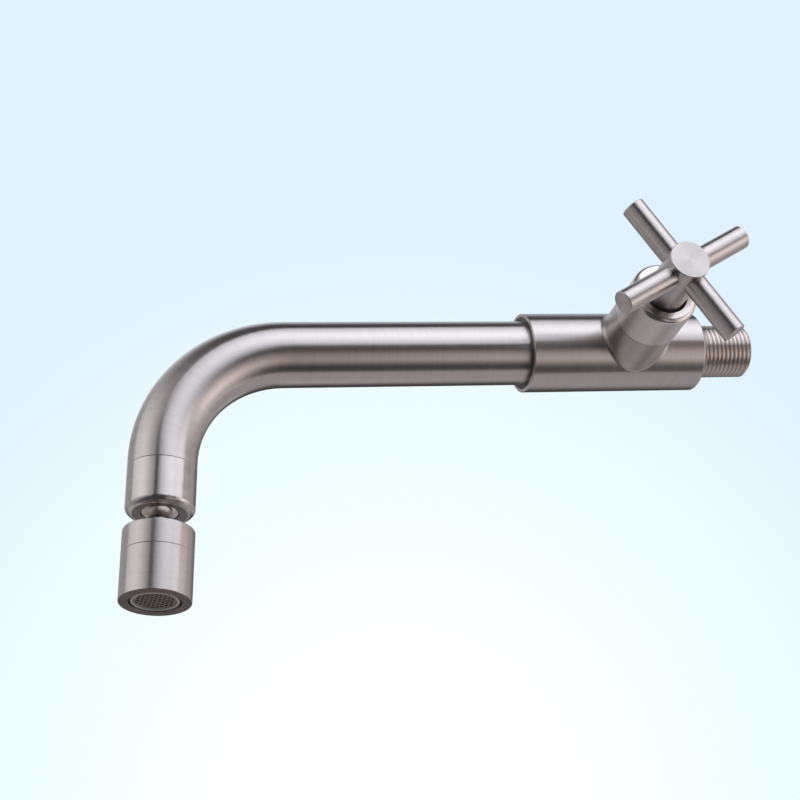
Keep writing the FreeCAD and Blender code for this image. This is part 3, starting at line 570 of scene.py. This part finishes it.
def threaded_nipple():
    """Inlet nipple with its pipe thread, cut from a turned blank."""
    low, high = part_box("inlet_nipple")
    crest = high.x
    root = crest - thread_depth
    # The helix starts before the nipple's inner end and runs on past its outer end
    turns_before = math.ceil(-low.y / thread_pitch) + 2
    turns_after = math.ceil(high.y / thread_pitch) + 3
    start = thread_run_out - thread_pitch * turns_before
    helix = line("inlet_thread_helix", [(root + depth * thread_depth, start + share * thread_pitch)
                                        for share, depth in thread_form])
    screw(helix, rise=thread_pitch, turns=turns_before + turns_after)
    close_end(helix, True)
    close_end(helix, False)
    face_outwards(helix)
    neck = root - neck_below_root
    lead = crest - neck
    outside = crest + blank_over_crest
    blank = line("threaded_inlet_nipple", [
        (nipple_bore_radius, low.y), (neck, low.y), (neck, thread_run_out),
        (outside, thread_run_out + lead),
        (outside, high.y - thread_chamfer), (crest - thread_chamfer, high.y), (nipple_bore_radius, high.y),
        (nipple_bore_radius, low.y)])
    screw(blank)
    face_outwards(blank)
    bpy.ops.object.select_all(action="DESELECT")
    bpy.context.view_layer.objects.active = blank
    cut = blank.modifiers.new("thread", "BOOLEAN")
    cut.operation = "INTERSECT"
    cut.solver = "EXACT"
    cut.object = helix
    bpy.ops.object.modifier_apply(modifier=cut.name)
    bpy.data.objects.remove(helix)
    blank.select_set(True)
    bpy.ops.object.shade_smooth_by_angle(angle=smooth_below)
    blank.data.materials.clear()
    blank.data.materials.append(
        brushed_metal("turned_steel_threaded_nipple", turned_grain(body_frame), **thread_values))
    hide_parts("inlet_nipple")
    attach(blank, "body")


# Stage
def direction_to(azimuth, elevation):
    """Unit vector towards a place in the studio. Azimuth 0 is the spout's end and 90 the handle's."""
    a, e = math.radians(azimuth), math.radians(elevation)
    return Vector((math.sin(a) * math.cos(e), -math.cos(a) * math.cos(e), math.sin(e)))


def hang(name, data, towards, distance, turn):
    """Hangs a lamp or the camera in the studio, seen from the tap in a direction and at a distance."""
    piece = bpy.data.objects.new(name, data)
    bpy.context.scene.collection.objects.link(piece)
    piece.location = camera_target + towards * distance
    piece.rotation_mode = "QUATERNION"
    piece.rotation_quaternion = turn
    return piece


def softbox(name, shape, azimuth, elevation, width, height, hex_colour, radiance, rim):
    """Soft lamp that faces the tap, brightest in its middle. Its width and height are angles."""
    lamp = bpy.data.lights.new(name, "AREA")
    lamp.shape = shape
    lamp.size = 2 * lamp_distance * math.tan(math.radians(width / 2))
    lamp.size_y = 2 * lamp_distance * math.tan(math.radians(height / 2))
    filled = math.pi / 4 if shape == "ELLIPSE" else 1.0
    lamp.energy = radiance * math.pi * lamp.size * lamp.size_y * filled
    lamp.use_nodes = True
    tree = lamp.node_tree
    tree.nodes.clear()
    place = put(tree, "ShaderNodeNewGeometry").outputs["Parametric"]
    offset = put(tree, "ShaderNodeVectorMath", {0: place, 1: (0.5, 0.5, 0)},
                 operation="SUBTRACT").outputs[0]
    reach = flat_part(tree, offset)[1]
    level = put(tree, "ShaderNodeMapRange", {
        "Value": reach, "From Max": lamp_fade, "To Min": 1.0, "To Max": rim},
        interpolation_type="SMOOTHSTEP")
    glow = put(tree, "ShaderNodeEmission", {"Color": linear(hex_colour), "Strength": level.outputs[0]})
    put(tree, "ShaderNodeOutputLight", {"Surface": glow.outputs[0]})
    towards = direction_to(azimuth, elevation)
    hang(name, lamp, towards, lamp_distance, towards.to_track_quat("Z", "Y"))


def room_light(tree, towards):
    """What the steel sees of the studio between the lamps: a dark room, the backdrop and soft patches."""
    sideways = put(tree, "ShaderNodeSeparateXYZ", {0: towards}).outputs["X"]
    over_paper = put(tree, "ShaderNodeMapRange", {
        "Value": sideways, **paper_edge}, interpolation_type="SMOOTHSTEP").outputs[0]
    near_palest = put(tree, "ShaderNodeVectorMath", {0: towards, 1: paper_palest},
                      operation="DOT_PRODUCT").outputs["Value"]
    paleness = put(tree, "ShaderNodeMapRange", {
        "Value": near_palest, **paper_fade}, interpolation_type="SMOOTHSTEP").outputs[0]
    paper = put(tree, "ShaderNodeMath", {0: over_paper, 1: paleness}, operation="MULTIPLY").outputs[0]
    colour = put(tree, "ShaderNodeMix", {0: paper, "A": linear(room_colour), "B": linear(paper_colour)},
                 data_type="RGBA", blend_type="ADD").outputs[2]
    for azimuth, elevation, half_width, half_height, tint, level in patches:
        direction = direction_to(azimuth, elevation)
        offset = put(tree, "ShaderNodeMapping", {
            "Vector": towards, "Location": direction,
            "Rotation": direction.to_track_quat("Z", "Y").to_euler(),
            "Scale": (math.sin(math.radians(half_width)), math.sin(math.radians(half_height)), 1.0)},
            vector_type="TEXTURE").outputs[0]
        reach = put(tree, "ShaderNodeVectorMath", {0: offset}, operation="LENGTH").outputs["Value"]
        share = put(tree, "ShaderNodeMapRange", {
            "Value": reach, "From Min": patch_gone, "From Max": patch_full, "To Max": level},
            interpolation_type="SMOOTHSTEP").outputs[0]
        colour = put(tree, "ShaderNodeMix", {0: share, "A": colour, "B": linear(tint)},
                     data_type="RGBA", blend_type="ADD").outputs[2]
    return colour


def studio_world():
    """Pale backdrop for the camera, and for the steel a backdrop and the dimmer room about it."""
    world = bpy.data.worlds.new("studio")
    bpy.context.scene.world = world
    world.use_nodes = True
    world.cycles.sampling_method = "NONE"
    tree = world.node_tree
    tree.nodes.clear()
    towards = put(tree, "ShaderNodeTexCoord").outputs["Generated"]
    light_path = put(tree, "ShaderNodeLightPath").outputs
    sharp = put(tree, "ShaderNodeMath", {
        0: light_path["Is Glossy Ray"], 1: light_path["Is Transmission Ray"]}, operation="MAXIMUM")
    steel_sees = put(tree, "ShaderNodeMix", {
        0: sharp.outputs[0], "A": linear(even_light), "B": room_light(tree, towards)},
        data_type="RGBA").outputs[2]
    distance = put(tree, "ShaderNodeVectorMath", {0: towards, 1: glow_centre()},
                   operation="DISTANCE").outputs["Value"]
    faded = put(tree, "ShaderNodeMapRange", {
        "Value": distance, "From Min": glow_full, "From Max": glow_gone}).outputs[0]
    backdrop = put(tree, "ShaderNodeValToRGB", {0: faded})
    backdrop.color_ramp.interpolation = "EASE"
    backdrop.color_ramp.elements[0].color = linear("#FFFFFF")
    backdrop.color_ramp.elements[1].color = linear("#E1F1FF")
    backdrop.color_ramp.elements.new(0.5).color = linear("#F0FDFE")
    seen = put(tree, "ShaderNodeMix", {
        0: light_path["Is Camera Ray"], "A": steel_sees, "B": backdrop.outputs["Color"]},
        data_type="RGBA").outputs[2]
    background = put(tree, "ShaderNodeBackground", {"Color": seen, "Strength": 1.0})
    put(tree, "ShaderNodeOutputWorld", {"Surface": background.outputs[0]})


def camera_turn():
    """The camera's rotation: level at first, then rolled about its view."""
    level = direction_to(camera_azimuth, camera_elevation).to_track_quat("Z", "Y")
    roll = Matrix.Rotation(math.radians(camera_roll), 4, "Z").to_quaternion()
    return level @ roll


def glow_centre():
    """Direction of the backdrop's glow, below the middle of the picture and just under its lower edge."""
    return (camera_turn() @ glow_middle).normalized()


def camera():
    """Camera at the photograph's viewing angle."""
    data = bpy.data.cameras.new("camera")
    data.lens = camera_lens
    data.clip_start, data.clip_end = camera_clip
    towards = direction_to(camera_azimuth, camera_elevation)
    bpy.context.scene.camera = hang("camera", data, towards, camera_distance, camera_turn())


def floor():
    """Plain pale floor that shows in no shine."""
    bpy.ops.object.select_all(action="DESELECT")
    bpy.ops.mesh.primitive_plane_add(size=floor_size, location=(0, 0, -floor_drop))
    piece = bpy.context.object
    piece.name = "floor"
    piece.visible_glossy = False
    material, tree, shader = new_material("painted_floor")
    fill(tree, shader, {"Base Color": linear("#D6DCE2"), "Roughness": 0.85})
    piece.data.materials.append(material)


finish_frame()
for name, slot, body in whole_pieces:
    whole_skin(name, body)
threaded_nipple()
camera()
floor()
for lamp in lamps:
    softbox(*lamp)
studio_world()
bpy.context.scene.view_settings.view_transform = "Standard"
